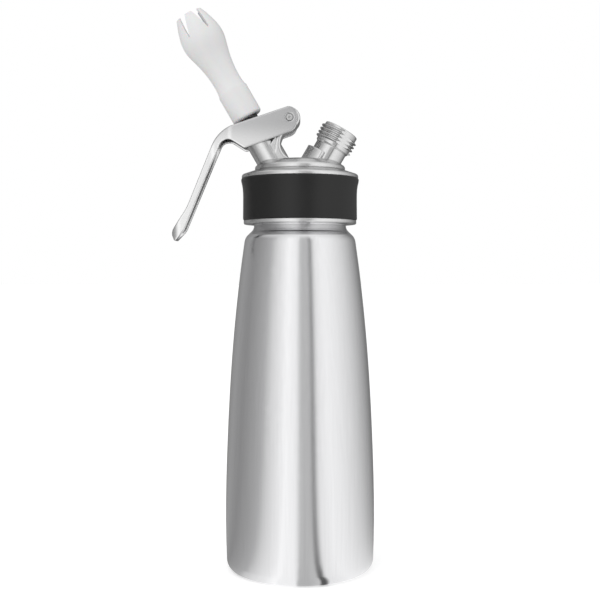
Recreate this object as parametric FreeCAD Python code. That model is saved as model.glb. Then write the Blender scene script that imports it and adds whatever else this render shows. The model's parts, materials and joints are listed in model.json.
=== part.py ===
# Whipped cream dispenser: a steel bottle with a screw-on head. The head carries a
# sloping outlet tube with a sliding valve and a screw-on decorator tip, a squeeze
# lever that presses the valve open, and a sloping threaded inlet for a gas charger.
# Millimetres. +Z is up along the bottle, the origin is the centre of the base, and
# the lever points along -X.

import FreeCAD, Part
import math
import os

from FreeCAD import Placement, Rotation, Vector

os.makedirs("parts", exist_ok=True)

# Bottle
base_radius = 49.3
base_corner = 7.0
belly_radius = 49.95
belly_height = 36.0
hip_radius = 48.9
hip_height = 85.0
chest_radius = 46.05
chest_height = 139.0
upper_radius = 42.0
upper_height = 184.0
shoulder_radius = 37.5
shoulder_drop = 8.7
shoulder_corner = 3.0
bottle_wall = 1.0
neck_radius = 31.0
neck_wall = 1.8
neck_length = 31.3
neck_fillet = 2.5
rim_height = 259.5

# Neck thread, shared by the bottle and the collar
neck_pitch = 4.0
neck_turns = 2.0
thread_depth = 1.4
thread_foot = 2.2
thread_crest = 1.0
thread_drop = 16.0
thread_clearance = 0.4
thread_root_bite = 0.3

# Head collar and gasket
skirt_length = 28.0
ring_thickness = 2.6
ring_inset = 0.5
collar_radius = 36.2
gasket_thickness = 2.5
gasket_overhang = 2.0
gasket_tab_width = 8.0
gasket_tab_length = 3.0
flange_inset = 0.6
flange_drop = 5.4
flange_edge = 2.4
flange_corner = 1.6
deck_seat_thickness = 5.7
deck_hole_radius = 25.0

# Grip band
grip_top_radius = 39.9
grip_waist_radius = 38.4
grip_foot_radius = 38.5
grip_corner = 1.5

# Valve housing: the deck, the outlet tube and the hinge lug
deck_radius = 30.4
deck_height = 6.8
deck_side = 2.6
deck_slope = 6.5
deck_side_corner = 3.0
deck_top_corner = 10.0
deck_recess_radius = 21.0
deck_plate = 4.0
outlet_slope = 30.0
outlet_drop = 16.8
tube_radius = 10.5
tube_end = 52.5
seat_end = 20.0
bore_radius = 6.2
pocket_radius = 8.0
pocket_floor = 40.0
lug_half_width = 10.0
lug_radius = 7.2
lug_edge = 1.6
web_drop = 2.5
web_sink = 1.0
gusset_slope = 6.0
throat_offset = 4.7
pivot_along = 55.2
pivot_across = 23.8
pin_radius = 2.2

# Gas inlet
inlet_slope = 30.0
inlet_drop = 13.0
inlet_end = 56.5
inlet_thread_length = 13.2
inlet_thread_radius = 13.45
inlet_root_radius = 11.9
inlet_pitch = 2.5
inlet_crest = 0.4
inlet_foot = 2.1
inlet_edge = 0.8
inlet_neck_radius = 11.0
inlet_shoulder = 32.0
spigot_radius = 8.0
spigot_end = 24.0
charger_socket_radius = 9.6
charger_socket_depth = 10.5
charger_neck_radius = 4.9
charger_neck_depth = 10.0
vent_angle = 27.0
vent_width = 10.0
boss_radius = 14.4
boss_top = 36.3
boss_offset = 2.0
boss_corner = 2.0

# Piercing pin, charger seal and one-way valve
pin_shank_radius = 2.5
pin_shank_length = 7.0
needle_radius = 1.1
needle_length = 5.6
needle_point = 2.4
gas_way_radius = 0.45
charger_seal_thickness = 1.8
check_wall = 1.2
check_overlap = 3.4
check_slit = 0.5
check_relief = 0.05
check_room = 0.3

# Valve
stem_radius = 3.5
stem_tail = 12.0
stem_passage = 2.0
port_radius = 1.2
port_station = 31.0
seal_radius = 8.2
seal_thickness = 2.6
seal_gap = 0.1
washer_radius = 7.8
washer_thickness = 1.5
nut_flats = 9.0
nut_thickness = 3.2
guide_length = 4.0
guide_flange = 1.5
running_clearance = 0.05
pocket_clearance = 0.1
spring_wire = 1.0
spring_radius = 6.3
spring_turns = 5.0
spring_gap = 0.3
knob_seat = 58.0
knob_flange_radius = 9.8
knob_flange = 2.5
knob_radius = 6.5
knob_hub_radius = 5.0
knob_hub = 4.0

# Decorator tip and its thread
tip_seat = 70.0
tip_gap = 0.4
tip_base_radius = 10.45
tip_base_corner = 2.0
tip_band = 21.0
tip_band_step = 0.35
tip_waist_radius = 9.6
tip_waist = 34.5
tip_belly_radius = 14.55
tip_belly = 59.0
tip_mouth_radius = 9.7
tip_length = 80.0
tip_wall = 1.7
tip_passage = 3.4
tip_throat = 17.0
tip_tines = 6
tine_slot_floor = 64.5
tine_slot_width = 0.9
tine_slot_spread = 5.4
tip_pitch = 2.5
tip_turns = 3.0
tip_thread_root = 5.2
tip_thread_depth = 0.9
tip_thread_foot = 1.3
tip_thread_crest = 0.5
tip_thread_lead = 1.6
tip_thread_clearance = 0.3
stem_head_length = 12.0
tip_seal_thickness = 0.8

# Lever, measured from the pivot
lever_wall = 1.7
lever_web = 1.7
fork_gap_half = 10.8
fork_wall = 1.5
handle_half_width = 9.0
tip_opening_radius = 11.3
web_end = 6.5
pad_radius = 2.2
pad_reach = 7.5
pad_gap = 0.3
washer_plate = 0.6
pivot_washer_radius = 4.5
pin_proud = 0.3
pin_countersink = 0.6
pin_dimple = 1.1
plan_overrun = 5.0
channel_overrun = 20.0
mouth_overrun = 6.0
fork_taper_start = 4.0
handle_taper_end = 3.0
taper_corner = 10.0
handle_corner = 6.5

# Corners of the lever's side view as (x, z, corner radius) from the pivot
lever_corners = [
    (5.0, 9.4, 5.5),
    (-48.1, -8.6, 24.0),
    (-68.8, -60.1, 40.0),
    (-79.6, -76.6, 6.0),
    (-77.0, -82.6, 0.8),
    (-70.3, -75.3, 9.0),
    (-44.0, -11.7, 6.0),
    (-30.0, -20.6, 3.0),
    (5.0, -8.1, 7.0),
]

# Levels and places that follow from the sizes above
neck_height = rim_height - neck_length
shoulder_height = neck_height - shoulder_drop
thread_start = rim_height - thread_drop
skirt_height = rim_height - skirt_length
gasket_seat = rim_height + gasket_thickness
deck_floor = gasket_seat + deck_seat_thickness
grip_foot = skirt_height + ring_thickness
grip_top = deck_floor - flange_drop
flange_radius = grip_top_radius - flange_inset
ring_radius = grip_foot_radius - ring_inset
deck_top = deck_floor + deck_height
recess_roof = deck_top - deck_plate
web_foot = deck_floor - web_sink
collar_bore = neck_radius + thread_depth + thread_clearance
fork_half_width = fork_gap_half + fork_wall
check_radius = spigot_radius + check_wall
check_top = spigot_end + check_overlap


def slope_placement(slope, root):
    """Takes a piece modelled along Z to a sloping axis that leaves the bottle's axis at a height."""
    return Placement(Vector(0, 0, root), Rotation(Vector(0, 1, 0), slope))


outlet_place = slope_placement(-outlet_slope, rim_height - outlet_drop)
inlet_place = slope_placement(inlet_slope, rim_height - inlet_drop)
pivot = outlet_place.multVec(Vector(pivot_across, 0, pivot_along))


def placed(shape, placement):
    moved = shape.copy()
    moved.Placement = placement.multiply(moved.Placement)
    return moved


def rounded_edges(corners):
    """Edges of a closed outline in the XZ plane, from (x, z, corner radius) corners."""
    count = len(corners)
    starts, ends, middles = [], [], []
    for i in range(count):
        x, z, radius = corners[i]
        here = Vector(x, 0, z)
        before = Vector(corners[i - 1][0], 0, corners[i - 1][1]) - here
        after = Vector(corners[(i + 1) % count][0], 0, corners[(i + 1) % count][1]) - here
        half_turn = (math.pi - before.getAngle(after)) / 2
        reach = min(radius * math.tan(half_turn), 0.45 * before.Length, 0.45 * after.Length)
        before.normalize()
        after.normalize()
        starts.append(here + before * reach)
        ends.append(here + after * reach)
        if reach > 0:
            radius = reach / math.tan(half_turn)
            inward = before + after
            inward.normalize()
            to_centre = radius / math.cos(half_turn)
            middles.append(here + inward * (to_centre - radius))
        else:
            middles.append(here)
    edges = []
    for i in range(count):
        if (ends[i] - starts[i]).Length > 1e-6:
            edges.append(Part.Arc(starts[i], middles[i], ends[i]).toShape())
        following = starts[(i + 1) % count]
        if (following - ends[i]).Length > 1e-6:
            edges.append(Part.LineSegment(ends[i], following).toShape())
    return edges


def outline_face(corners):
    return Part.Face(Part.Wire(rounded_edges(corners)))


def turned(corners):
    """A solid of revolution about Z from (radius, height, corner radius) corners."""
    full = [(c[0], c[1], c[2] if len(c) > 2 else 0.0) for c in corners]
    return outline_face(full).revolve(Vector(0, 0, 0), Vector(0, 0, 1), 360)


def cylinder(radius, low, high):
    return Part.makeCylinder(radius, high - low, Vector(0, 0, low))


def slab(corners, half_width):
    """An outline of the XZ plane thickened evenly to both sides along Y."""
    face = outline_face(corners)
    face.translate(Vector(0, -half_width, 0))
    return face.extrude(Vector(0, 2 * half_width, 0))


def helix_ridge(root, depth, foot, crest, pitch, turns, start, bite):
    """A thread ridge along Z. A negative depth points the ridge inwards."""
    sign = 1 if depth > 0 else -1
    inner = root - sign * bite
    outer = root + depth
    grow = (foot - crest) / 2 * bite / abs(depth)
    corners = [
        Vector(inner, 0, start - foot / 2 - grow),
        Vector(outer, 0, start - crest / 2),
        Vector(outer, 0, start + crest / 2),
        Vector(inner, 0, start + foot / 2 + grow),
    ]
    profile = Part.makePolygon(corners + corners[:1])
    path = Part.makeHelix(pitch, pitch * turns, inner)
    path.translate(Vector(0, 0, start))
    ridge = Part.Wire(path.Edges).makePipeShell([profile], True, True)
    return Part.Solid(ridge) if ridge.ShapeType == "Shell" else ridge


def spline_through(points):
    curve = Part.BSplineCurve()
    curve.interpolate([Vector(r, 0, z) for r, z in points])
    return curve.toShape()


def bottle_body(inset, neck, top, floor):
    """The bottle's outside at inset 0, or its cavity at the wall's inset, with a neck of its own."""
    stations = [
        (base_radius, base_corner),
        (belly_radius, belly_height),
        (hip_radius, hip_height),
        (chest_radius, chest_height),
        (upper_radius, upper_height),
        (shoulder_radius, shoulder_height),
    ]
    stations = [(r - inset, z) for r, z in stations]
    corner = base_corner - floor
    centre = Vector(base_radius - inset - corner, 0, base_corner)
    low = Vector(centre.x, 0, floor)
    side = Vector(stations[0][0], 0, stations[0][1])
    diagonal = Vector(math.cos(math.pi / 4), 0, -math.sin(math.pi / 4))
    shoulder = Vector(stations[-1][0], 0, stations[-1][1])
    slope_top = Vector(neck, 0, neck_height - inset / 2)
    down = Vector(stations[-2][0] - shoulder.x, 0, stations[-2][1] - shoulder.z)
    down.normalize()
    corner_point = shoulder - down * shoulder_corner
    across = slope_top - corner_point
    across.normalize()
    corner_end = corner_point + across * shoulder_corner
    middle = (shoulder + corner_end + corner_point * 2) * 0.25
    slope_end = slope_top - across * neck_fillet
    neck_start = slope_top + Vector(0, 0, neck_fillet)
    neck_middle = (slope_end + neck_start + slope_top * 2) * 0.25
    edges = [
        Part.LineSegment(Vector(0, 0, floor), low).toShape(),
        Part.Arc(low, centre + diagonal * corner, side).toShape(),
        spline_through(stations),
        Part.Arc(shoulder, middle, corner_end).toShape(),
        Part.LineSegment(corner_end, slope_end).toShape(),
        Part.Arc(slope_end, neck_middle, neck_start).toShape(),
        Part.LineSegment(neck_start, Vector(neck, 0, top)).toShape(),
        Part.LineSegment(Vector(neck, 0, top), Vector(0, 0, top)).toShape(),
        Part.LineSegment(Vector(0, 0, top), Vector(0, 0, floor)).toShape(),
    ]
    return Part.Face(Part.Wire(edges)).revolve(Vector(0, 0, 0), Vector(0, 0, 1), 360)


def make_bottle():
    outside = bottle_body(0.0, neck_radius, rim_height, 0.0)
    cavity = bottle_body(bottle_wall, neck_radius - neck_wall, rim_height + 1, bottle_wall)
    thread = helix_ridge(
        neck_radius, thread_depth, thread_foot, thread_crest,
        neck_pitch, neck_turns, thread_start, thread_root_bite,
    )
    return outside.fuse(thread).cut(cavity)


def make_collar():
    body = turned(
        [
            (collar_bore, skirt_height, 0.4),
            (ring_radius, skirt_height, 0.8),
            (ring_radius, grip_foot, 0.3),
            (collar_radius, grip_foot),
            (collar_radius, grip_top),
            (flange_radius, grip_top, 0.3),
            (flange_radius, grip_top + flange_edge, flange_corner),
            (deck_radius, deck_floor),
            (deck_hole_radius, deck_floor),
            (deck_hole_radius, gasket_seat),
            (collar_bore, gasket_seat),
        ]
    )
    thread = helix_ridge(
        collar_bore, -thread_depth, thread_foot, thread_crest,
        neck_pitch, neck_turns, thread_start - neck_pitch / 2, thread_root_bite,
    )
    return body.fuse(thread)


def make_grip_band():
    """A rubber band whose outside narrows to a waist below its flared top edge."""
    waist_height = grip_foot + (grip_top - grip_foot) * 0.55
    corner_top = grip_top - grip_corner
    edges = [
        Part.LineSegment(Vector(collar_radius, 0, grip_top), Vector(collar_radius, 0, grip_foot)),
        Part.LineSegment(Vector(collar_radius, 0, grip_foot), Vector(grip_foot_radius, 0, grip_foot)),
        Part.LineSegment(
            Vector(grip_foot_radius, 0, grip_foot), Vector(grip_waist_radius, 0, waist_height)
        ),
    ]
    shapes = [e.toShape() for e in edges]
    flare = Part.BezierCurve()
    flare.setPoles(
        [
            Vector(grip_waist_radius, 0, waist_height),
            Vector(grip_waist_radius, 0, (waist_height + corner_top) / 2),
            Vector(grip_top_radius, 0, corner_top),
        ]
    )
    shapes.append(flare.toShape())
    corner = Part.BezierCurve()
    corner.setPoles(
        [
            Vector(grip_top_radius, 0, corner_top),
            Vector(grip_top_radius, 0, grip_top),
            Vector(grip_top_radius - grip_corner, 0, grip_top),
        ]
    )
    shapes.append(corner.toShape())
    top = Part.LineSegment(
        Vector(grip_top_radius - grip_corner, 0, grip_top), Vector(collar_radius, 0, grip_top)
    )
    shapes.append(top.toShape())
    return Part.Face(Part.Wire(shapes)).revolve(Vector(0, 0, 0), Vector(0, 0, 1), 360)


def make_head_gasket():
    """The ring that seals the bottle's rim, with a finger tab inside the neck."""
    inner = neck_radius - neck_wall - gasket_overhang
    outer = neck_radius + thread_depth - thread_clearance
    ring = turned(
        [(inner, rim_height), (outer, rim_height), (outer, gasket_seat), (inner, gasket_seat)]
    )
    tab = Part.makeBox(
        gasket_tab_width, gasket_tab_length + 1, gasket_thickness,
        Vector(-gasket_tab_width / 2, inner - gasket_tab_length, rim_height),
    )
    return ring.fuse(tab).removeSplitter()


def make_housing():
    """Deck, outlet tube and hinge lug in one casting, bored along both sloping axes."""
    deck = turned(
        [
            (0, deck_floor),
            (deck_radius, deck_floor, 0.3),
            (deck_radius, deck_floor + deck_side, deck_side_corner),
            (deck_radius - deck_slope, deck_top, deck_top_corner),
            (0, deck_top),
        ]
    )
    spigot = cylinder(deck_hole_radius, gasket_seat, deck_floor)
    tube = placed(cylinder(tube_radius, seat_end, tube_end), outlet_place)
    body = deck.fuse(spigot).fuse(tube).fuse(hinge_web()).fuse(charger_boss())
    recess = cylinder(deck_recess_radius, gasket_seat - 1, recess_roof)
    body = body.cut(recess.cut(tube))
    seat_ring = cylinder(2 * deck_radius, 0, deck_floor).cut(cylinder(deck_hole_radius, 0, deck_floor))
    body = body.cut(seat_ring)
    bores = [
        placed(cylinder(bore_radius, seat_end - 1, tube_end + 1), outlet_place),
        placed(cylinder(pocket_radius, pocket_floor, tube_end + 1), outlet_place),
        placed(cylinder(inlet_neck_radius, inlet_shoulder, inlet_end), inlet_place),
        placed(cylinder(spigot_radius, 0, inlet_end), inlet_place),
        placed(cylinder(check_radius + check_room, 0, check_top + check_room), inlet_place),
        Part.makeCylinder(
            pin_radius, 2 * lug_half_width + 2,
            Vector(pivot.x, -lug_half_width - 1, pivot.z), Vector(0, 1, 0),
        ),
    ]
    for bore in bores:
        body = body.cut(bore)
    return body.removeSplitter()


def hinge_web():
    """The web from the tube to the lug, with a round throat between the lug and the deck."""
    leave = outlet_place.multVec(Vector(tube_radius, 0, tube_end - web_drop))
    to_pivot = pivot - leave
    swing = math.degrees(math.asin(lug_radius / to_pivot.Length))
    reach = math.sqrt(to_pivot.Length**2 - lug_radius**2)
    to_pivot.normalize()
    upward = Rotation(Vector(0, -1, 0), swing).multVec(to_pivot)
    root = leave - upward * ((leave.z - web_foot) / upward.z)
    back = leave + upward * reach

    rise = pivot.z - deck_top
    throat = (throat_offset**2 + rise**2 - lug_radius**2) / (2 * (rise + lug_radius))
    centre = Vector(pivot.x + throat_offset, 0, deck_top + throat)
    towards = centre - pivot
    towards.normalize()
    touch = pivot + towards * lug_radius
    around = centre + Vector(-throat, 0, 0)
    landing = Vector(centre.x, 0, deck_top)
    sunk = Vector(centre.x, 0, web_foot)

    back_angle = math.atan2(back.z - pivot.z, back.x - pivot.x)
    touch_angle = math.atan2(touch.z - pivot.z, touch.x - pivot.x)
    middle = (back_angle + touch_angle) / 2
    crown = pivot + Vector(math.cos(middle), 0, math.sin(middle)) * lug_radius
    edges = [
        Part.LineSegment(root, back),
        Part.Arc(back, crown, touch),
        Part.Arc(touch, around, landing),
        Part.LineSegment(landing, sunk),
        Part.LineSegment(sunk, root),
    ]
    face = Part.Face(Part.Wire([e.toShape() for e in edges]))
    face.translate(Vector(0, -lug_half_width, 0))
    web = face.extrude(Vector(0, 2 * lug_half_width, 0))
    rims = [
        e for e in web.Edges
        if e.BoundBox.YLength < 1e-3 and e.BoundBox.ZMax > deck_top + 1e-3
    ]
    on_axis = outlet_place.multVec(Vector(0, 0, tube_end - web_drop - gusset_slope))
    gusset = slab([(p.x, p.z, 0.0) for p in (root, leave, on_axis)], lug_half_width)
    return web.makeFillet(lug_edge, rims).fuse(gusset)


def charger_boss():
    """A half collar beside the inlet, on the side of the bottle's axis."""
    collar = cylinder(boss_radius, inlet_shoulder / 2, boss_top)
    keep = Part.makeBox(
        2 * boss_radius, 4 * boss_radius, 2 * inlet_end,
        Vector(-boss_offset - 2 * boss_radius, -2 * boss_radius, 0),
    )
    half = collar.common(keep)
    posts = [
        e for e in half.Edges
        if abs(e.BoundBox.ZLength - (boss_top - inlet_shoulder / 2)) < 1e-3
        and abs(e.BoundBox.Center.x + boss_offset) < 1e-3
    ]
    half = half.makeFillet(boss_corner, posts)
    boss = placed(half, inlet_place)
    below = Part.makeBox(
        8 * boss_radius, 8 * boss_radius, web_foot,
        Vector(-4 * boss_radius, -4 * boss_radius, 0),
    )
    return boss.cut(below)


def make_inlet():
    """The turned inlet: outer thread with two vent flats, charger socket and lower spigot."""
    thread_low = inlet_end - inlet_thread_length
    body = turned(
        [
            (0, spigot_end),
            (spigot_radius, spigot_end),
            (spigot_radius, inlet_shoulder),
            (inlet_neck_radius, inlet_shoulder),
            (inlet_neck_radius, thread_low - 1.2, 0.8),
            (inlet_root_radius, thread_low, 0.3),
            (inlet_root_radius, inlet_end, inlet_edge),
            (0, inlet_end),
        ]
    )
    depth = inlet_thread_radius - inlet_root_radius
    turns = (inlet_thread_length - inlet_foot - 2 * inlet_edge) / inlet_pitch
    ridge = helix_ridge(
        inlet_root_radius, depth, inlet_foot, inlet_crest,
        inlet_pitch, turns, thread_low + inlet_foot / 2 + 0.2, thread_root_bite,
    )
    slots = []
    for side in (0, 180):
        slot = Part.makeBox(
            depth + 1, vent_width, inlet_thread_length + 4,
            Vector(inlet_root_radius + 0.02, -vent_width / 2, thread_low - 2),
        )
        slot.rotate(Vector(0, 0, 0), Vector(0, 0, 1), -90 + vent_angle + side)
        slots.append(slot)
    for slot in slots:
        ridge = ridge.cut(slot)
    seat = inlet_end - charger_socket_depth
    bottom = seat - charger_neck_depth
    hollow = turned(
        [
            (0, bottom),
            (charger_neck_radius, bottom),
            (charger_neck_radius, seat),
            (charger_socket_radius, seat),
            (charger_socket_radius, inlet_end + 1),
            (0, inlet_end + 1),
        ]
    )
    shank = cylinder(pin_shank_radius, bottom - pin_shank_length, bottom)
    outflow = cylinder(pin_shank_radius / 2, spigot_end - 1, bottom)
    return placed(body.fuse(ridge).cut(hollow).cut(shank).cut(outflow), inlet_place)


def make_piercing_pin():
    bottom = inlet_end - charger_socket_depth - charger_neck_depth
    body = turned(
        [
            (0, bottom - pin_shank_length),
            (pin_shank_radius, bottom - pin_shank_length),
            (pin_shank_radius, bottom),
            (needle_radius, bottom),
            (needle_radius, bottom + needle_length - needle_point),
            (gas_way_radius + 0.1, bottom + needle_length),
            (0, bottom + needle_length),
        ]
    )
    way = cylinder(gas_way_radius, bottom - pin_shank_length - 1, bottom + needle_length + 1)
    return placed(body.cut(way), inlet_place)


def make_charger_seal():
    bottom = inlet_end - charger_socket_depth - charger_neck_depth
    ring = turned(
        [
            (needle_radius + 0.9, bottom),
            (charger_neck_radius, bottom),
            (charger_neck_radius, bottom + charger_seal_thickness),
            (needle_radius + 0.9, bottom + charger_seal_thickness),
        ]
    )
    return placed(ring, inlet_place)


def make_check_valve():
    """A slit rubber cap over the inlet's lower spigot that lets gas down but not back up."""
    cap = turned(
        [
            (0, spigot_end - check_wall),
            (check_radius, spigot_end - check_wall, 0.8),
            (check_radius, check_top),
            (spigot_radius + check_relief, check_top),
            (spigot_radius + check_relief, spigot_end),
            (0, spigot_end),
        ]
    )
    slit = Part.makeBox(
        check_slit, spigot_radius, 2 * check_wall,
        Vector(-check_slit / 2, -spigot_radius / 2, spigot_end - 1.5 * check_wall),
    )
    return placed(cap.cut(slit), inlet_place)


def make_stem():
    head_foot = tip_seat - tip_gap
    head_top = tip_seat + stem_head_length
    body = turned(
        [
            (0, stem_tail),
            (stem_radius, stem_tail, 0.4),
            (stem_radius, head_foot),
            (tip_thread_root, head_foot),
            (tip_thread_root, head_top, 0.4),
            (0, head_top),
        ]
    )
    ridge = helix_ridge(
        tip_thread_root, tip_thread_depth, tip_thread_foot, tip_thread_crest,
        tip_pitch, tip_turns, tip_seat + tip_thread_lead, thread_root_bite,
    )
    passage = cylinder(stem_passage, port_station - 2 * port_radius, head_top + 1)
    port = Part.makeCylinder(
        port_radius, 4 * stem_radius, Vector(-2 * stem_radius, 0, port_station), Vector(1, 0, 0)
    )
    return placed(body.fuse(ridge).cut(passage).cut(port), outlet_place)


def make_valve_seal():
    top = seat_end - seal_gap
    ring = turned(
        [
            (stem_radius, top - seal_thickness),
            (seal_radius, top - seal_thickness),
            (seal_radius, top),
            (stem_radius, top),
        ]
    )
    return placed(ring, outlet_place)


def make_valve_washer():
    top = seat_end - seal_gap - seal_thickness
    ring = turned(
        [
            (stem_radius, top - washer_thickness),
            (washer_radius, top - washer_thickness, 0.3),
            (washer_radius, top),
            (stem_radius, top),
        ]
    )
    return placed(ring, outlet_place)


def make_valve_nut():
    top = seat_end - seal_gap - seal_thickness - washer_thickness
    corner = nut_flats / 2 / math.cos(math.pi / 6)
    points = [
        Vector(corner * math.cos(math.radians(a)), corner * math.sin(math.radians(a)), top - nut_thickness)
        for a in range(0, 361, 60)
    ]
    nut = Part.Face(Part.makePolygon(points)).extrude(Vector(0, 0, nut_thickness))
    return placed(nut.cut(cylinder(stem_radius, 0, top + 1)), outlet_place)


def make_stem_guide():
    """The plastic bush that guides the stem and carries the spring."""
    bush = turned(
        [
            (stem_radius + running_clearance, pocket_floor - guide_length),
            (bore_radius, pocket_floor - guide_length),
            (bore_radius, pocket_floor),
            (pocket_radius - pocket_clearance, pocket_floor),
            (pocket_radius - pocket_clearance, pocket_floor + guide_flange),
            (stem_radius + running_clearance, pocket_floor + guide_flange),
        ]
    )
    return placed(bush, outlet_place)


def make_rod_seal():
    section = (bore_radius - stem_radius - running_clearance) / 2
    height = pocket_floor - guide_length - section
    ring = Part.makeTorus(stem_radius + running_clearance + section, section)
    ring.translate(Vector(0, 0, height))
    return placed(ring, outlet_place)


def arc_from_tangent(start, reach, end):
    """An arc between two points that both lie one reach from the corner of their tangents."""
    corner = start + reach
    middle = (start + end) / 2
    half_chord = (end - start).Length / 2
    bulge = corner - middle
    turn = math.atan2(bulge.Length, half_chord)
    bulge.normalize()
    return Part.Arc(start, middle + bulge * (half_chord * math.tan(turn / 2)), end).toShape()


def coil_path(radius, pitch, turns, start):
    """A helix along Z as pairs of arcs that meet smoothly, four pairs to a turn."""
    edges = []
    steps = int(round(turns * 4))
    rise = pitch / (2 * math.pi)
    for i in range(steps):
        points, tangents = [], []
        for angle in (i * math.pi / 2, (i + 1) * math.pi / 2):
            points.append(
                Vector(radius * math.cos(angle), radius * math.sin(angle), start + rise * angle)
            )
            tangent = Vector(-radius * math.sin(angle), radius * math.cos(angle), rise)
            tangent.normalize()
            tangents.append(tangent)
        across = points[1] - points[0]
        along = across.dot(tangents[0] + tangents[1])
        spread = 2 * (1 - tangents[0].dot(tangents[1]))
        reach = (-along + math.sqrt(along**2 + spread * across.dot(across))) / spread
        corners = (points[0] + tangents[0] * reach, points[1] - tangents[1] * reach)
        joint = (corners[0] + corners[1]) / 2
        edges.append(arc_from_tangent(points[0], tangents[0] * reach, joint))
        edges.append(arc_from_tangent(joint, corners[1] - joint, points[1]))
    return Part.Wire(edges)


def make_return_spring():
    """An open coil between the guide's flange and the knob."""
    low = pocket_floor + guide_flange + spring_gap + spring_wire / 2
    high = knob_seat - spring_gap - spring_wire / 2
    path = coil_path(spring_radius, (high - low) / spring_turns, spring_turns, low)
    first = path.OrderedEdges[0]
    heading = first.tangentAt(first.FirstParameter)
    section = Part.Wire(Part.makeCircle(spring_wire / 2, Vector(spring_radius, 0, low), heading).Edges)
    coil = path.makePipeShell([section], True, False)
    print("spring: least gap between turns", round((high - low) / spring_turns - spring_wire, 2))
    return placed(Part.Solid(coil) if coil.ShapeType == "Shell" else coil, outlet_place)


def make_knob():
    top = tip_seat - tip_gap
    body = turned(
        [
            (stem_radius, knob_seat - knob_hub),
            (knob_hub_radius, knob_seat - knob_hub, 0.4),
            (knob_hub_radius, knob_seat),
            (knob_flange_radius, knob_seat, 0.4),
            (knob_flange_radius, knob_seat + knob_flange, 0.6),
            (knob_radius, knob_seat + knob_flange),
            (knob_radius, top, 0.4),
            (stem_radius, top),
        ]
    )
    return placed(body, outlet_place)


def make_tip_seal():
    low = tip_seat + stem_head_length
    ring = turned(
        [
            (stem_passage, low),
            (tip_thread_root, low),
            (tip_thread_root, low + tip_seal_thickness),
            (stem_passage, low + tip_seal_thickness),
        ]
    )
    return placed(ring, outlet_place)


def bulb_points(inset):
    """The tip's side from its waist to its mouth, or the cup inside it at the wall's inset."""
    waist = (tip_waist_radius - inset, tip_seat + tip_waist)
    belly = (tip_belly_radius - inset, tip_seat + tip_belly)
    mouth = (tip_mouth_radius - inset, tip_seat + tip_length)
    mid_low = ((waist[0] * 0.48 + belly[0] * 0.52), (waist[1] * 0.42 + belly[1] * 0.58))
    mid_high = ((belly[0] * 0.56 + mouth[0] * 0.44), (belly[1] * 0.35 + mouth[1] * 0.65))
    return [waist, mid_low, belly, mid_high, mouth]


def make_decorator_tip():
    """Translucent nozzle: threaded base, slim waist and a bulb cut into tines."""
    band_top = tip_seat + tip_band
    mouth_height = tip_seat + tip_length
    bulb = bulb_points(0.0)
    band_end = (tip_base_radius - tip_band_step, band_top)
    outer = [
        Part.LineSegment(Vector(0, 0, tip_seat), Vector(tip_base_radius - tip_base_corner, 0, tip_seat)),
        Part.Arc(
            Vector(tip_base_radius - tip_base_corner, 0, tip_seat),
            Vector(
                tip_base_radius - tip_base_corner * (1 - math.sin(math.pi / 4)), 0,
                tip_seat + tip_base_corner * (1 - math.cos(math.pi / 4)),
            ),
            Vector(tip_base_radius, 0, tip_seat + tip_base_corner),
        ),
        Part.LineSegment(
            Vector(tip_base_radius, 0, tip_seat + tip_base_corner), Vector(tip_base_radius, 0, band_top)
        ),
        Part.LineSegment(Vector(tip_base_radius, 0, band_top), Vector(band_end[0], 0, band_end[1])),
    ]
    edges = [e.toShape() for e in outer]
    edges.append(spline_through([band_end] + bulb))
    edges.append(
        Part.LineSegment(Vector(tip_mouth_radius, 0, mouth_height), Vector(0, 0, mouth_height)).toShape()
    )
    edges.append(Part.LineSegment(Vector(0, 0, mouth_height), Vector(0, 0, tip_seat)).toShape())
    body = Part.Face(Part.Wire(edges)).revolve(Vector(0, 0, 0), Vector(0, 0, 1), 360)

    socket_radius = tip_thread_root + tip_thread_depth + tip_thread_clearance
    socket_top = tip_seat + stem_head_length + tip_seal_thickness
    socket = cylinder(socket_radius, tip_seat - 1, socket_top)
    way = cylinder(tip_passage, tip_seat, tip_seat + tip_throat + 1)
    throat = (tip_passage, tip_seat + tip_throat)
    cup_points = [throat] + bulb_points(tip_wall)
    cup_mouth = cup_points[-1]
    cup_edges = [
        spline_through(cup_points),
        Part.LineSegment(
            Vector(cup_mouth[0], 0, cup_mouth[1]), Vector(cup_mouth[0], 0, mouth_height + 1)
        ).toShape(),
        Part.LineSegment(Vector(cup_mouth[0], 0, mouth_height + 1), Vector(0, 0, mouth_height + 1)).toShape(),
        Part.LineSegment(Vector(0, 0, mouth_height + 1), Vector(0, 0, throat[1])).toShape(),
        Part.LineSegment(Vector(0, 0, throat[1]), Vector(throat[0], 0, throat[1])).toShape(),
    ]
    cup = Part.Face(Part.Wire(cup_edges)).revolve(Vector(0, 0, 0), Vector(0, 0, 1), 360)
    body = body.cut(socket).cut(way).cut(cup)

    slot_floor = tip_seat + tine_slot_floor
    wedge = [
        (-tine_slot_width / 2, slot_floor, 0.0),
        (tine_slot_width / 2, slot_floor, 0.0),
        (tine_slot_spread / 2, mouth_height + 1, 0.0),
        (-tine_slot_spread / 2, mouth_height + 1, 0.0),
    ]
    face = outline_face(wedge)
    for i in range(tip_tines):
        slot = face.extrude(Vector(0, 2 * tip_belly_radius, 0))
        slot.rotate(Vector(0, 0, 0), Vector(0, 0, 1), 360 / tip_tines * (i + 0.5))
        body = body.cut(slot)
    ridge = helix_ridge(
        socket_radius, -tip_thread_depth, tip_thread_foot, tip_thread_crest,
        tip_pitch, tip_turns, tip_seat + tip_thread_lead + tip_pitch / 2, thread_root_bite,
    )
    return placed(body.fuse(ridge), outlet_place)


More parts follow.
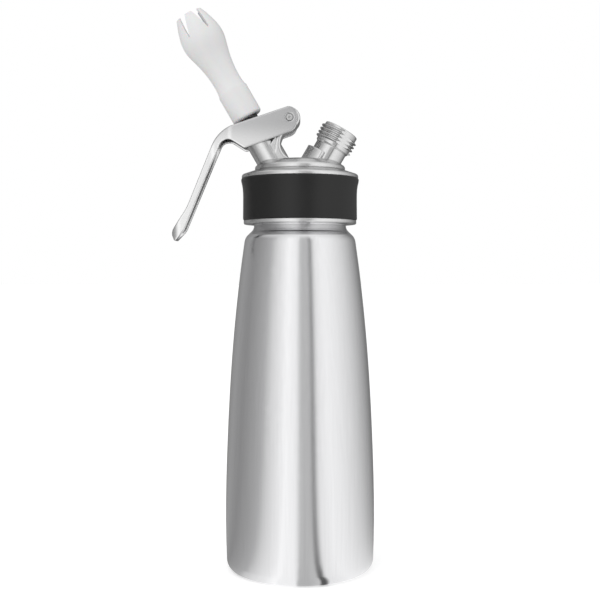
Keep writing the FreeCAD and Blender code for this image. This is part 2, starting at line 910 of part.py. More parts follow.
def lever_plan(half_fork, half_handle, end_inset):
    """The lever's outline from above: a wide fork that narrows to the handle."""
    right = lever_corners[0][0] + pivot.x + 1
    elbow = lever_corners[6][0] + pivot.x + fork_taper_start
    bend = lever_corners[1][0] + pivot.x - handle_taper_end
    left = lever_corners[3][0] + pivot.x + end_inset
    return [
        (right, -half_fork, 0.0),
        (right, half_fork, 0.0),
        (elbow, half_fork, taper_corner),
        (bend, half_handle, taper_corner),
        (left, half_handle, handle_corner),
        (left, -half_handle, handle_corner),
        (bend, -half_handle, taper_corner),
        (elbow, -half_fork, taper_corner),
    ]


def plan_prism(corners, low, high):
    """An outline given as (x, y, corner radius) and extruded along Z."""
    face = outline_face(corners)
    face.rotate(Vector(0, 0, 0), Vector(1, 0, 0), -90)
    face.translate(Vector(0, 0, low))
    return face.extrude(Vector(0, 0, high - low))


def make_lever():
    """A pressed channel, open below: two side plates, a web over them and a spoon end."""
    side = [(x + pivot.x, z + pivot.z, r) for x, z, r in lever_corners]
    low = side[4][1] - channel_overrun
    high = side[0][1] + channel_overrun
    body = slab(side, fork_half_width)
    body = body.common(plan_prism(lever_plan(fork_half_width, handle_half_width, 0.0), low, high))
    channel = slab(inner_side(side), fork_gap_half)
    inner_plan = lever_plan(fork_gap_half, handle_half_width - lever_wall, lever_wall)
    channel = channel.common(plan_prism(inner_plan, low, high))
    body = body.cut(channel)
    opening = cylinder(tip_opening_radius, knob_seat, tip_seat + tip_band)
    slot = Part.makeBox(
        2 * tip_opening_radius, 2 * fork_gap_half, tip_band,
        Vector(-tip_opening_radius, -fork_gap_half, knob_seat),
    )
    body = body.cut(placed(opening.common(slot), outlet_place))
    pads = []
    for way in (-1, 1):
        pads.append(
            Part.makeCylinder(
                pad_radius, fork_half_width - pad_reach - fork_wall / 2,
                Vector(0, way * pad_reach, knob_seat + knob_flange + pad_gap + pad_radius),
                Vector(0, way, 0),
            )
        )
    for pad in pads:
        body = body.fuse(placed(pad, outlet_place))
    bore = Part.makeCylinder(
        pin_radius + running_clearance, 4 * fork_half_width,
        Vector(pivot.x, -2 * fork_half_width, pivot.z), Vector(0, 1, 0),
    )
    body = body.cut(bore)
    hole_radius = pin_radius + running_clearance
    for way in (-1, 1):
        countersink = Part.makeCone(
            hole_radius + pin_countersink, hole_radius, pin_countersink,
            Vector(pivot.x, way * fork_half_width, pivot.z), Vector(0, -way, 0),
        )
        body = body.cut(countersink)
    return body.removeSplitter()


def inner_side(side):
    """The channel's side view: the outer edge moved in by the web, and open below and at the back."""
    top_right = side[0]
    bend = side[1]
    knee = side[2]
    heel = side[3]
    tip = side[4]
    back_x = pivot.x - web_end
    slope = (top_right[1] - bend[1]) / (top_right[0] - bend[0])
    lift = lever_web * math.hypot(1, slope)
    at_back = bend[1] + slope * (back_x - bend[0]) - lift
    shift = lever_web
    right = top_right[0] + plan_overrun
    return [
        (right, top_right[1] + plan_overrun, 0.0),
        (back_x, top_right[1] + plan_overrun, 0.0),
        (back_x, at_back, 0.0),
        (bend[0] + shift, bend[1] - shift * 0.9, bend[2] - shift),
        (knee[0] + shift, knee[1] + shift * 0.2, knee[2]),
        (heel[0] + shift * 1.25, heel[1] + shift * 0.5, heel[2] - shift),
        (tip[0] + shift * 1.1, tip[1] - mouth_overrun, 0.0),
        (tip[0] + channel_overrun, tip[1] - mouth_overrun, 0.0),
        (side[6][0] + 2 * mouth_overrun, side[6][1] - channel_overrun, 0.0),
        (right, side[8][1] - 2 * mouth_overrun, 0.0),
    ]


def make_lever_pin():
    """A straight pin through the lug and both side plates, dimpled at its ends."""
    half = fork_half_width + pin_proud
    body = turned(
        [
            (0, -half),
            (pin_radius, -half, 0.3),
            (pin_radius, half, 0.3),
            (0, half),
        ]
    )
    for way in (-1, 1):
        dimple = Part.makeCone(0.0, pin_dimple, pin_dimple, Vector(0, 0, way * (half - pin_dimple)), Vector(0, 0, way))
        body = body.cut(dimple)
    body.rotate(Vector(0, 0, 0), Vector(1, 0, 0), 90)
    body.translate(pivot)
    return body


def make_pivot_washers():
    """Two thin washers that keep the side plates off the lug."""
    rings = []
    for way in (-1, 1):
        start = Vector(pivot.x, way * lug_half_width, pivot.z)
        disc = Part.makeCylinder(pivot_washer_radius, washer_plate, start, Vector(0, way, 0))
        hole = Part.makeCylinder(pin_radius, washer_plate, start, Vector(0, way, 0))
        rings.append(disc.cut(hole))
    return Part.makeCompound(rings)


builders = {
    "bottle": make_bottle,
    "threaded_collar": make_collar,
    "grip_band": make_grip_band,
    "head_gasket": make_head_gasket,
    "valve_housing": make_housing,
    "charger_inlet": make_inlet,
    "piercing_pin": make_piercing_pin,
    "charger_seal": make_charger_seal,
    "check_valve": make_check_valve,
    "valve_stem": make_stem,
    "valve_seal": make_valve_seal,
    "valve_washer": make_valve_washer,
    "valve_nut": make_valve_nut,
    "stem_guide": make_stem_guide,
    "rod_seal": make_rod_seal,
    "return_spring": make_return_spring,
    "valve_knob": make_knob,
    "tip_seal": make_tip_seal,
    "decorator_tip": make_decorator_tip,
    "lever": make_lever,
    "lever_pin": make_lever_pin,
    "pivot_washers": make_pivot_washers,
}

for name, build in builders.items():
    shape = build()
    shape.exportStep(f"parts/{name}.step")
    solids = shape.Solids
    print(name, len(solids), "valid" if shape.isValid() else "INVALID", round(sum(s.Volume for s in solids), 1))
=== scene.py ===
import json
import math

import bmesh
import bpy
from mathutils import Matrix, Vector


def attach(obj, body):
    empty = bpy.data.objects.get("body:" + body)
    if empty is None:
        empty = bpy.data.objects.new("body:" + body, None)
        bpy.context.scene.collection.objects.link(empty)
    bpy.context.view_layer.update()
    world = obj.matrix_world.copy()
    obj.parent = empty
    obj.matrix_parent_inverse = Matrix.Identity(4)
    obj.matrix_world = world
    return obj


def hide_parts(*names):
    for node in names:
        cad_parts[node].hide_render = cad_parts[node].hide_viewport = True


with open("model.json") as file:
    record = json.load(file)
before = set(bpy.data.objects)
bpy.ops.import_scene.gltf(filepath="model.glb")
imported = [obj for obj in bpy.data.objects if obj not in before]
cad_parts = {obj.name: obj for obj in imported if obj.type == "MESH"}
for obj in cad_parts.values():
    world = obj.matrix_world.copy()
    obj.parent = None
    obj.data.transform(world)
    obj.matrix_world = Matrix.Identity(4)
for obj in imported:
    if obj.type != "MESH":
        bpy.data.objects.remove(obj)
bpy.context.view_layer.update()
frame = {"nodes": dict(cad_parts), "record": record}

print("frame loaded:", len(frame["nodes"]), "nodes")

# lengths in the pieces' dictionaries are in millimetres, all others in metres
mm = 0.001


# Helpers for node trees

def fillInputs(tree, node, inputs):
    # an output is linked in, and anything else is the input's own value
    for label, value in inputs.items():
        if isinstance(value, bpy.types.NodeSocket):
            tree.links.new(value, node.inputs[label])
        else:
            node.inputs[label].default_value = value


def addNode(tree, kind, place=(0, 0), inputs=None, **settings):
    node = tree.nodes.new(kind)
    node.location = place
    for key, value in settings.items():
        setattr(node, key, value)
    fillInputs(tree, node, inputs or {})
    return node


def addMath(tree, operation, *values):
    node = addNode(tree, "ShaderNodeMath", operation=operation, inputs=dict(enumerate(values)))
    return node.outputs[0]


def mixShaders(tree, share, first, second):
    return addNode(tree, "ShaderNodeMixShader", inputs={0: share, 1: first, 2: second}).outputs[0]


def makeGroup(name, inputs, outputs):
    group = bpy.data.node_groups.new(name, "ShaderNodeTree")
    for label, kind, value in inputs:
        socket = group.interface.new_socket(label, in_out="INPUT", socket_type=kind)
        socket.default_value = value
    for label, kind in outputs:
        group.interface.new_socket(label, in_out="OUTPUT", socket_type=kind)
    enter = addNode(group, "NodeGroupInput", (-900, 0))
    leave = addNode(group, "NodeGroupOutput", (600, 0))
    return group, enter, leave


def grey(level):
    return (level, level, level, 1)


# Camera

camera = {
    "distance": 0.700,
    "height": 0.1994,
    "lens": 62.1,       # focal length in millimetres
    "shiftY": -0.0467,
    "clipEnd": 100,
}


def addCamera():
    data = bpy.data.cameras.new("studioCamera")
    data.lens = camera["lens"]
    data.shift_y = camera["shiftY"]
    data.clip_end = camera["clipEnd"]
    obj = bpy.data.objects.new("studioCamera", data)
    obj.location = (0, -camera["distance"], camera["height"])
    obj.rotation_euler = (math.radians(90), 0, 0)
    bpy.context.scene.collection.objects.link(obj)
    bpy.context.scene.camera = obj


# Room, floor and soft light

studio = {
    "floorSize": 30.0,
    "floorColour": (0.86, 0.86, 0.86, 1.0),
    "floorLift": 0.42,
    "backdrop": 1.0,
    "roomLevel": 1.25,
    "evenLevel": 0.80,
    # how bright the ceiling is, and between which slopes of the view it takes over from the walls
    "ceiling": 0.75,
    "ceilingFrom": 0.5,
    "ceilingTo": 1.0,
    # how bright the walls are, by bearing in degrees: 0 is in front of the object, 90 on its right
    "room": [
        (-180, 0.20), (-158, 0.22), (-132, 0.30), (-103, 0.24), (-76, 0.33), (-60, 0.41),
        (-52, 0.58), (-42, 0.72), (-30, 0.84), (-21, 1.00), (-17, 0.91), (-4, 0.90),
        (-1, 0.46), (7, 0.45), (16, 0.55), (18, 0.10), (22, 0.10), (25, 0.80),
        (45, 0.90), (66, 0.82), (90, 0.66), (120, 0.40), (150, 0.17), (180, 0.20),
    ],
    "keyPower": 5.0,
    "keySize": 0.9,
    "keyPlace": (-0.7, -0.9, 1.3),
    "keyAim": (0, 0, 0.2),
}


def makeRoomBearing():
    # a ramp round the upright axis gives the wall's brightness at each bearing
    group, enter, leave = makeGroup(
        "roomBearing",
        [("Place", "NodeSocketVector", (0, 0, 0))],
        [("Colour", "NodeSocketColor")],
    )
    split = addNode(group, "ShaderNodeSeparateXYZ", (-700, 0), {0: enter.outputs["Place"]})
    forward = addMath(group, "MULTIPLY", split.outputs["Y"], -1.0)
    bearing = addMath(group, "ARCTAN2", split.outputs["X"], forward)
    turn = addMath(group, "MULTIPLY_ADD", bearing, 1 / (2 * math.pi), 0.5)
    ramp = addNode(group, "ShaderNodeValToRGB", (200, 0), {0: turn})
    stops = ramp.color_ramp.elements
    while len(stops) > 1:
        stops.remove(stops[-1])
    for index, (degrees, level) in enumerate(studio["room"]):
        place = degrees / 360 + 0.5
        stop = stops[0] if index == 0 else stops.new(place)
        stop.position = place
        stop.color = grey(level)
    fillInputs(group, leave, {"Colour": ramp.outputs["Color"]})
    return group


roomBearing = makeRoomBearing()


def seenDirectly(tree, path):
    # 1 for rays straight from the camera or through clear material
    return addMath(tree, "MAXIMUM", path.outputs["Is Camera Ray"], path.outputs["Is Transmission Ray"])


def addRoomLight():
    # metal mirrors the room, matte things get an even light, and the backdrop is plain white
    world = bpy.data.worlds.new("studioRoom")
    bpy.context.scene.world = world
    world.use_nodes = True
    tree = world.node_tree
    tree.nodes.clear()
    direction = addNode(tree, "ShaderNodeTexCoord").outputs["Generated"]
    bearing = addNode(tree, "ShaderNodeGroup", node_tree=roomBearing, inputs={"Place": direction})
    split = addNode(tree, "ShaderNodeSeparateXYZ", inputs={0: direction})
    upward = addNode(tree, "ShaderNodeMapRange", inputs={
        "Value": split.outputs["Z"],
        "From Min": studio["ceilingFrom"],
        "From Max": studio["ceilingTo"],
    })
    blend = addNode(tree, "ShaderNodeMix", data_type="RGBA", inputs={
        "Factor": upward.outputs[0],
        "A": bearing.outputs["Colour"],
        "B": grey(studio["ceiling"]),
    })
    room = addNode(tree, "ShaderNodeBackground", inputs={
        "Color": blend.outputs["Result"],
        "Strength": studio["roomLevel"],
    })
    even = addNode(tree, "ShaderNodeBackground", inputs={
        "Color": grey(1),
        "Strength": studio["evenLevel"],
    })
    white = addNode(tree, "ShaderNodeBackground", inputs={
        "Color": grey(1),
        "Strength": studio["backdrop"],
    })
    path = addNode(tree, "ShaderNodeLightPath")
    lit = mixShaders(tree, path.outputs["Is Glossy Ray"], even.outputs[0], room.outputs[0])
    whole = mixShaders(tree, seenDirectly(tree, path), lit, white.outputs[0])
    addNode(tree, "ShaderNodeOutputWorld", inputs={"Surface": whole})


def makeFloorPaper():
    material = bpy.data.materials.new("floorPaper")
    material.use_nodes = True
    tree = material.node_tree
    tree.nodes.clear()
    path = addNode(tree, "ShaderNodeLightPath")
    paper = addNode(tree, "ShaderNodeBsdfDiffuse", inputs={"Color": studio["floorColour"]})
    lift = addMath(tree, "MULTIPLY", seenDirectly(tree, path), studio["floorLift"])
    glow = addNode(tree, "ShaderNodeEmission", inputs={"Color": grey(1), "Strength": lift})
    both = addNode(tree, "ShaderNodeAddShader", inputs={0: paper.outputs[0], 1: glow.outputs[0]})
    # polished metal sees the room's walls carried on downwards in place of the paper
    place = addNode(tree, "ShaderNodeTexCoord").outputs["Object"]
    bearing = addNode(tree, "ShaderNodeGroup", node_tree=roomBearing, inputs={"Place": place})
    walls = addNode(tree, "ShaderNodeEmission", inputs={
        "Color": bearing.outputs["Colour"],
        "Strength": studio["roomLevel"],
    })
    whole = mixShaders(tree, path.outputs["Is Glossy Ray"], both.outputs[0], walls.outputs[0])
    addNode(tree, "ShaderNodeOutputMaterial", inputs={"Surface": whole})
    return material


def addFloor():
    bpy.ops.object.select_all(action="DESELECT")
    bpy.ops.mesh.primitive_plane_add(size=studio["floorSize"])
    floor = bpy.context.object
    floor.name = "studioFloor"
    floor.data.materials.append(makeFloorPaper())


def addKeyLight():
    data = bpy.data.lights.new("softBox", "AREA")
    data.energy = studio["keyPower"]
    data.size = studio["keySize"]
    obj = bpy.data.objects.new("softBox", data)
    obj.visible_glossy = False
    obj.location = studio["keyPlace"]
    aim = Vector(studio["keyAim"]) - Vector(studio["keyPlace"])
    obj.rotation_euler = aim.to_track_quat("-Z", "Y").to_euler()
    bpy.context.scene.collection.objects.link(obj)


addCamera()
addRoomLight()
addFloor()
addKeyLight()
bpy.context.scene.view_settings.view_transform = "Standard"
print("studio ready")


# Effects that several finishes share

# the middle part of a noise's range, which is drawn out to the whole change of tone
noiseRange = (0.3, 0.7)

brushing = {
    "scratchDetail": 5.0,
    "scratchRoughness": 0.65,
    "cloudScale": 14.0,
    "cloudDetail": 3.0,
}

moulding = {
    "stippleDetail": 3.0,
    "cloudScale": 45.0,
    "cloudDetail": 4.0,
}


def endEffect(group, enter, leave, toneFrom, roughFrom, heightFrom):
    # the patterns become a tone, a roughness round its middle value and a fine relief
    tone = addNode(group, "ShaderNodeMapRange", (-200, 300), {
        "Value": toneFrom,
        "From Min": noiseRange[0],
        "From Max": noiseRange[1],
        "To Min": enter.outputs["Tone Low"],
    })
    spread = addMath(group, "MULTIPLY", roughFrom, enter.outputs["Roughness Spread"])
    rough = addMath(group, "ADD", spread, enter.outputs["Roughness"])
    fillInputs(group, leave, {"Tone": tone.outputs[0], "Roughness": rough, "Height": heightFrom})


effectOutputs = [
    ("Tone", "NodeSocketFloat"),
    ("Roughness", "NodeSocketFloat"),
    ("Height", "NodeSocketFloat"),
]


def makeBrushedGrain():
    # fine scratches drawn out along one axis, with slow cloudy changes under them
    group, enter, leave = makeGroup(
        "brushedGrain",
        [
            ("Stretch", "NodeSocketVector", (1500, 1500, 30)),
            ("Tone Low", "NodeSocketFloat", 0.9),
            ("Roughness", "NodeSocketFloat", 0.25),
            ("Roughness Spread", "NodeSocketFloat", 0.08),
        ],
        effectOutputs,
    )
    place = addNode(group, "ShaderNodeTexCoord", (-900, 300)).outputs["Object"]
    mapping = addNode(group, "ShaderNodeMapping", (-700, 200), {
        "Vector": place,
        "Scale": enter.outputs["Stretch"],
    })
    scratch = addNode(group, "ShaderNodeTexNoise", (-480, 200), {
        "Vector": mapping.outputs[0],
        "Scale": 1.0,
        "Detail": brushing["scratchDetail"],
        "Roughness": brushing["scratchRoughness"],
    })
    cloud = addNode(group, "ShaderNodeTexNoise", (-480, -100), {
        "Vector": place,
        "Scale": brushing["cloudScale"],
        "Detail": brushing["cloudDetail"],
    })
    mixed = addMath(group, "ADD", scratch.outputs["Fac"], cloud.outputs["Fac"])
    centred = addMath(group, "SUBTRACT", mixed, 1.0)
    endEffect(group, enter, leave, scratch.outputs["Fac"], centred, scratch.outputs["Fac"])
    return group


def makeMouldedSkin():
    # the fine stipple and slow unevenness of moulded rubber or plastic
    group, enter, leave = makeGroup(
        "mouldedSkin",
        [
            ("Stipple", "NodeSocketFloat", 2500.0),
            ("Roughness", "NodeSocketFloat", 0.6),
            ("Roughness Spread", "NodeSocketFloat", 0.1),
            ("Tone Low", "NodeSocketFloat", 0.85),
        ],
        effectOutputs,
    )
    place = addNode(group, "ShaderNodeTexCoord", (-900, 300)).outputs["Object"]
    grain = addNode(group, "ShaderNodeTexNoise", (-480, 200), {
        "Vector": place,
        "Scale": enter.outputs["Stipple"],
        "Detail": moulding["stippleDetail"],
    })
    cloud = addNode(group, "ShaderNodeTexNoise", (-480, -100), {
        "Vector": place,
        "Scale": moulding["cloudScale"],
        "Detail": moulding["cloudDetail"],
    })
    centred = addMath(group, "SUBTRACT", cloud.outputs["Fac"], 0.5)
    endEffect(group, enter, leave, cloud.outputs["Fac"], centred, grain.outputs["Fac"])
    return group


brushedGrain = makeBrushedGrain()
mouldedSkin = makeMouldedSkin()


# Finishes: the effect's own values, the colour, the relief's strength and depth in metres,
# the values that are the same all over, and the radius of edges as the light sees them

bottleSteel = {
    "name": "bottleSteel", "effect": brushedGrain,
    "pattern": {
        "Stretch": (900, 900, 14), "Tone Low": 0.95,
        "Roughness": 0.20, "Roughness Spread": 0.03,
    },
    "colour": (0.80, 0.80, 0.81),
    "relief": (0.03, 0.0002),
    "plain": {"Metallic": 1.0},
}

headSteel = {
    "name": "headSteel", "effect": brushedGrain,
    "pattern": {
        "Stretch": (700, 700, 700), "Tone Low": 0.93,
        "Roughness": 0.26, "Roughness Spread": 0.05,
    },
    "colour": (0.76, 0.76, 0.76),
    "relief": (0.03, 0.0002),
    "plain": {"Metallic": 1.0, "Specular Tint": grey(0.75)},
    "softEdge": 0.0014,
}

turnedSteel = {
    "name": "turnedSteel", "effect": brushedGrain,
    "pattern": {
        "Stretch": (500, 500, 500), "Tone Low": 0.95,
        "Roughness": 0.17, "Roughness Spread": 0.04,
    },
    "colour": (0.70, 0.70, 0.70),
    "relief": (0.02, 0.0002),
    "plain": {"Metallic": 1.0, "Specular Tint": grey(0.6)},
    "softEdge": 0.0003,
}

leverSteel = {
    "name": "leverSteel", "effect": brushedGrain,
    "pattern": {
        "Stretch": (600, 2600, 1500), "Tone Low": 0.94,
        "Roughness": 0.22, "Roughness Spread": 0.05,
    },
    "colour": (0.60, 0.60, 0.605),
    # the handle is given a lighter colour, which turns into the satin plates' colour between two
    # heights
    "handleColour": (0.86, 0.86, 0.86),
    "handleEnds": 0.284,
    "platesStart": 0.300,
    "relief": (0.02, 0.0002),
    "plain": {"Metallic": 1.0, "Specular Tint": grey(0.45)},
    "softEdge": 0.0016,
}

gripRubber = {
    "name": "gripRubber", "effect": mouldedSkin,
    "pattern": {
        "Stipple": 2600.0, "Tone Low": 0.8,
        "Roughness": 0.36, "Roughness Spread": 0.10,
    },
    "colour": (0.010, 0.010, 0.0098),
    "relief": (0.10, 0.0003),
    "plain": {"Specular IOR Level": 0.4},
}

sealRubber = {
    "name": "sealRubber", "effect": mouldedSkin,
    "pattern": {
        "Stipple": 3000.0, "Tone Low": 0.8,
        "Roughness": 0.55, "Roughness Spread": 0.10,
    },
    "colour": (0.50, 0.05, 0.03),
    "relief": (0.08, 0.0002),
    "plain": {},
}

knobPlastic = {
    "name": "knobPlastic", "effect": mouldedSkin,
    "pattern": {
        "Stipple": 3500.0, "Tone Low": 0.8,
        "Roughness": 0.38, "Roughness Spread": 0.08,
    },
    "colour": (0.02, 0.02, 0.02),
    "relief": (0.05, 0.0002),
    "plain": {},
}

innerPlastic = {
    "name": "innerPlastic", "effect": mouldedSkin,
    "pattern": {
        "Stipple": 3500.0, "Tone Low": 0.92,
        "Roughness": 0.42, "Roughness Spread": 0.08,
    },
    "colour": (0.80, 0.80, 0.78),
    "relief": (0.04, 0.0002),
    "plain": {},
}

tipPlastic = {
    "name": "tipPlastic", "effect": mouldedSkin,
    "pattern": {
        "Stipple": 1800.0, "Tone Low": 0.97,
        "Roughness": 0.30, "Roughness Spread": 0.06,
    },
    "colour": (0.84, 0.84, 0.84),
    "relief": (0.02, 0.0002),
    "plain": {"Subsurface Weight": 0.12, "Subsurface Scale": 0.002, "IOR": 1.45},
}


def makeFinish(values):
    material = bpy.data.materials.new(values["name"])
    material.use_nodes = True
    tree = material.node_tree
    shader = tree.nodes["Principled BSDF"]
    effect = addNode(
        tree, "ShaderNodeGroup", (-700, 0), values["pattern"], node_tree=values["effect"],
    )
    paint = addNode(tree, "ShaderNodeMix", (-400, 200), data_type="RGBA", name="paint", inputs={
        "Factor": effect.outputs["Tone"],
        "A": grey(0),
        "B": values["colour"] + (1,),
    })
    strength, depth = values["relief"]
    relief = addNode(tree, "ShaderNodeBump", (-300, -200), {
        "Strength": strength,
        "Distance": depth,
        "Height": effect.outputs["Height"],
    })
    if "softEdge" in values:
        soft = addNode(
            tree, "ShaderNodeBevel", (-500, -300), {"Radius": values["softEdge"]}, samples=8,
        )
        fillInputs(tree, relief, {"Normal": soft.outputs["Normal"]})
    fillInputs(tree, shader, values["plain"])
    fillInputs(tree, shader, {
        "Base Color": paint.outputs["Result"],
        "Roughness": effect.outputs["Roughness"],
        "Normal": relief.outputs["Normal"],
    })
    return material


def makeLeverFinish(values):
    # the plates' colour gives way to the handle's below the bend
    material = makeFinish(values)
    tree = material.node_tree
    place = addNode(tree, "ShaderNodeTexCoord", (-1500, 300)).outputs["Object"]
    split = addNode(tree, "ShaderNodeSeparateXYZ", (-1300, 300), {0: place})
    height = addNode(tree, "ShaderNodeMapRange", (-1100, 300), interpolation_type="SMOOTHSTEP", inputs={
        "Value": split.outputs["Z"],
        "From Min": values["handleEnds"],
        "From Max": values["platesStart"],
    })
    tone = addNode(tree, "ShaderNodeMix", (-900, 300), data_type="RGBA", inputs={
        "Factor": height.outputs[0],
        "A": values["handleColour"] + (1,),
        "B": values["colour"] + (1,),
    })
    fillInputs(tree, tree.nodes["paint"], {"B": tone.outputs["Result"]})
    return material


finishes = {
    "bottle_steel": makeFinish(bottleSteel),
    "head_steel": makeFinish(headSteel),
    "turned_steel": makeFinish(turnedSteel),
    "lever_steel": makeLeverFinish(leverSteel),
    "spring_steel": makeFinish(turnedSteel),
    "grip_rubber": makeFinish(gripRubber),
    "seal_rubber": makeFinish(sealRubber),
    "knob_plastic": makeFinish(knobPlastic),
    "inner_plastic": makeFinish(innerPlastic),
    "tip_plastic": makeFinish(tipPlastic),
}
slotOf = {entry["node"]: entry["material_slot"] for entry in frame["record"]["subparts"]}


def dress(obj, slotName):
    obj.data.materials.clear()
    obj.data.materials.append(finishes[slotName])


for nodeName, node in frame["nodes"].items():
    dress(node, slotOf[nodeName])
print("materials on the frame's nodes")


# Modelling steps that several pieces share

modelling = {
    "endFace": 0.99,    # a face whose normal is more upright than this is an end face
    "sideFace": 0.1,    # one whose normal is less upright than this is a side face
    "level": 1e-5,      # metres from a height within which a vertex lies at it
    "sharp": 40,        # degrees between two faces from which their edge is rounded
    "smooth": 35,       # degrees up to which the shading runs on over an edge
}


def selectParts(obj, kind, wanted):
    # picks the faces or vertices for which the test holds, and nothing else
    bpy.ops.mesh.select_mode(type=kind)
    bpy.ops.mesh.select_all(action="DESELECT")
    mesh = bmesh.from_edit_mesh(obj.data)
    parts = {"FACE": mesh.faces, "VERT": mesh.verts}[kind]
    for part in parts:
        if wanted(part):
            part.select_set(True)
    mesh.select_flush_mode()
    bmesh.update_edit_mesh(obj.data)


def middleOf(part):
    return sum((vert.co for vert in part.verts), Vector()) / len(part.verts)


def middleRadius(values):
    return (values["outer"] + values["inner"]) / 2 * mm


def startDisc(name, values):
    # an upright cylinder between two heights, left in edit mode
    bpy.ops.object.select_all(action="DESELECT")
    bpy.ops.mesh.primitive_cylinder_add(
        vertices=values["steps"],
        radius=values["outer"] * mm,
        depth=(values["high"] - values["low"]) * mm,
        location=(0, 0, (values["high"] + values["low"]) / 2 * mm),
    )
    disc = bpy.context.object
    disc.name = name
    bpy.ops.object.transform_apply(location=True, rotation=True, scale=True)
    bpy.ops.object.mode_set(mode="EDIT")
    return disc


def pierce(disc, values):
    # both end faces are inset to the hole's size and bridged through
    selectParts(disc, "FACE", lambda face: abs(face.normal.z) > modelling["endFace"])
    bpy.ops.mesh.inset(thickness=(values["outer"] - values["inner"]) * mm)
    bpy.ops.mesh.bridge_edge_loops()


def roundSharpEdges(values):
    bpy.ops.mesh.select_mode(type="EDGE")
    bpy.ops.mesh.select_all(action="DESELECT")
    bpy.ops.mesh.edges_select_sharp(sharpness=math.radians(modelling["sharp"]))
    bpy.ops.mesh.bevel(
        offset=values["round"] * mm, segments=values["roundSteps"], affect="EDGES",
    )


def endPiece(piece, values):
    # normals outward, the piece's place and slope put into its mesh, then finish, slot and body
    bpy.ops.mesh.select_all(action="SELECT")
    bpy.ops.mesh.normals_make_consistent(inside=False)
    bpy.ops.object.mode_set(mode="OBJECT")
    if "axis" in values:
        slope, root = values["axis"]
        piece.rotation_euler = (0, math.radians(slope), 0)
        piece.location = (0, 0, root * mm)
        bpy.ops.object.transform_apply(location=True, rotation=True, scale=True)
    bpy.ops.object.shade_smooth_by_angle(angle=math.radians(modelling["smooth"]))
    dress(piece, values["slot"])
    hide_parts(values["node"])
    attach(piece, values["body"])


# The two sloping axes: degrees from upright, and the height where each leaves the bottle's axis
outletAxis = (-30.0, 242.7)
inletAxis = (30.0, 246.5)


# Grip band

gripBand = {
    "node": "grip_band", "body": "head", "slot": "grip_rubber",
    "outer": 38.5, "inner": 36.2, "low": 234.1, "high": 262.3, "steps": 160,
    # height and radius of each turn round the outside, up to the flared top
    "outline": [
        (242.0, 38.43), (249.6, 38.4), (252.4, 38.45),
        (255.2, 38.65), (257.6, 39.0), (259.6, 39.5),
    ],
    "topRadius": 39.9,
    "round": 1.2, "roundSteps": 4,
}


def selectRing(band, height, middle):
    # the vertices at one height that lie further out than the wall's middle

    def onRing(vert):
        return abs(vert.co.z - height) < modelling["level"] and vert.co.xy.length > middle

    selectParts(band, "VERT", onRing)


def modelGripBand():
    values = gripBand
    band = startDisc("gripBandPiece", values)
    pierce(band, values)
    for height, _ in values["outline"]:
        bpy.ops.mesh.select_all(action="SELECT")
        bpy.ops.mesh.bisect(plane_co=(0, 0, height * mm), plane_no=(0, 0, 1))
    middle = middleRadius(values)
    rings = values["outline"] + [(values["high"], values["topRadius"])]
    for height, radius in rings:
        selectRing(band, height * mm, middle)
        grow = radius / values["outer"]
        bpy.ops.transform.resize(value=(grow, grow, 1), center_override=(0, 0, height * mm))
    roundSharpEdges(values)
    endPiece(band, values)


modelGripBand()
print("grip band modelled")


# Head gasket

headGasket = {
    "node": "head_gasket", "body": "gasket", "slot": "seal_rubber",
    "outer": 32.0, "inner": 27.2, "low": 259.5, "high": 262.0, "steps": 120,
    "tabWidth": 8.0, "tabLength": 3.0,
    "round": 0.25, "roundSteps": 2,
}


def modelHeadGasket():
    values = headGasket
    gasket = startDisc("headGasketPiece", values)
    pierce(gasket, values)
    middle = middleRadius(values)
    halfTab = values["tabWidth"] / 2 * mm

    def onTab(face):
        centre = middleOf(face)
        onBore = abs(face.normal.z) < modelling["sideFace"] and centre.xy.length < middle
        return onBore and centre.y > 0 and abs(centre.x) < halfTab

    selectParts(gasket, "FACE", onTab)
    bpy.ops.mesh.extrude_region_move(
        TRANSFORM_OT_translate={"value": (0, -values["tabLength"] * mm, 0)},
    )
    # the tab's curved end is flattened where it reaches furthest in
    reach = (values["inner"] - values["tabLength"]) * mm
    bpy.ops.transform.resize(value=(1, 0, 1), center_override=(0, reach, values["low"] * mm))
    roundSharpEdges(values)
    endPiece(gasket, values)


modelHeadGasket()
print("head gasket modelled")


# Plain seals: charger seal, valve seal and the seal in the tip

plainSeals = {
    "chargerSealPiece": {
        "node": "charger_seal", "body": "head", "slot": "seal_rubber", "axis": inletAxis,
        "outer": 4.9, "inner": 2.0, "low": 36.0, "high": 37.8, "steps": 64,
        "round": 0.25, "roundSteps": 2,
    },
    "valveSealPiece": {
        "node": "valve_seal", "body": "valve", "slot": "seal_rubber", "axis": outletAxis,
        "outer": 8.2, "inner": 3.5, "low": 17.3, "high": 19.9, "steps": 64,
        "round": 0.25, "roundSteps": 2,
    },
    "tipSealPiece": {
        "node": "tip_seal", "body": "tip_ring", "slot": "seal_rubber", "axis": outletAxis,
        "outer": 5.2, "inner": 2.0, "low": 82.0, "high": 82.8, "steps": 64,
        "round": 0.12, "roundSteps": 2,
    },
}


def modelPlainSeals():
    for name, values in plainSeals.items():
        ring = startDisc(name, values)
        pierce(ring, values)
        roundSharpEdges(values)
        endPiece(ring, values)


modelPlainSeals()
print("plain seals modelled")


# Rod seal

rodSeal = {
    "node": "rod_seal", "body": "head", "slot": "seal_rubber", "axis": outletAxis,
    "radius": 4.875, "section": 1.325, "height": 34.675,
    "steps": 64, "sectionSteps": 20,
}


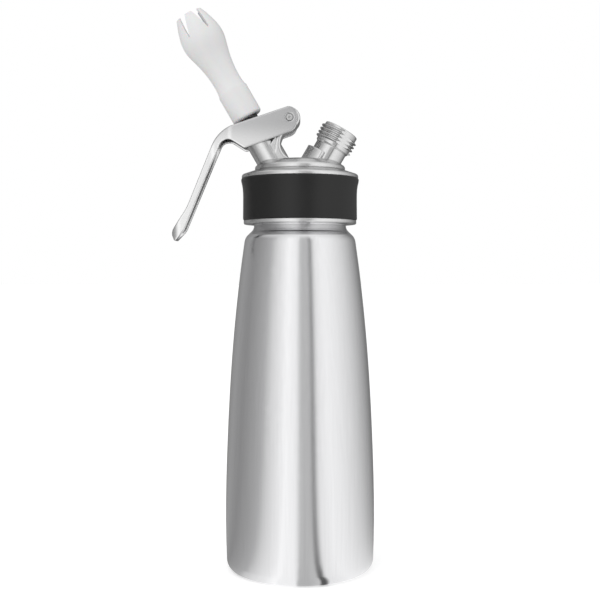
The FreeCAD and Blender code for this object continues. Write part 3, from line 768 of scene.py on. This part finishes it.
def modelRodSeal():
    values = rodSeal
    bpy.ops.object.select_all(action="DESELECT")
    bpy.ops.mesh.primitive_torus_add(
        major_segments=values["steps"],
        minor_segments=values["sectionSteps"],
        major_radius=values["radius"] * mm,
        minor_radius=values["section"] * mm,
        location=(0, 0, values["height"] * mm),
    )
    ring = bpy.context.object
    ring.name = "rodSealPiece"
    bpy.ops.object.transform_apply(location=True, rotation=True, scale=True)
    bpy.ops.object.mode_set(mode="EDIT")
    endPiece(ring, values)


modelRodSeal()
print("rod seal modelled")


# Check valve

checkValve = {
    "node": "check_valve", "body": "head", "slot": "seal_rubber", "axis": inletAxis,
    "outer": 9.2, "inner": 8.05, "low": 22.8, "high": 27.4, "floor": 24.0, "steps": 96,
    "slitWidth": 0.5, "slitLength": 8.0, "slitDepth": 3.6,
    "round": 0.3, "roundSteps": 2,
}


def cutSlit(cap, values):
    # a thin blade is pushed through the cap's floor and taken away again
    bpy.ops.object.select_all(action="DESELECT")
    bpy.ops.mesh.primitive_cube_add(
        size=1,
        location=(0, 0, values["low"] * mm),
        scale=(values["slitWidth"] * mm, values["slitLength"] * mm, values["slitDepth"] * mm),
    )
    blade = bpy.context.object
    slit = cap.modifiers.new("slit", "BOOLEAN")
    slit.operation = "DIFFERENCE"
    slit.solver = "EXACT"
    slit.object = blade
    bpy.ops.object.select_all(action="DESELECT")
    cap.select_set(True)
    bpy.context.view_layer.objects.active = cap
    bpy.ops.object.modifier_apply(modifier="slit")
    bpy.data.objects.remove(blade)


def modelCheckValve():
    values = checkValve
    cap = startDisc("checkValvePiece", values)
    selectParts(cap, "FACE", lambda face: face.normal.z > modelling["endFace"])
    bpy.ops.mesh.inset(thickness=(values["outer"] - values["inner"]) * mm)
    hollow = (values["high"] - values["floor"]) * mm
    bpy.ops.mesh.extrude_region_move(TRANSFORM_OT_translate={"value": (0, 0, -hollow)})
    roundSharpEdges(values)
    bpy.ops.object.mode_set(mode="OBJECT")
    cutSlit(cap, values)
    bpy.ops.object.mode_set(mode="EDIT")
    endPiece(cap, values)


modelCheckValve()
print("check valve modelled")
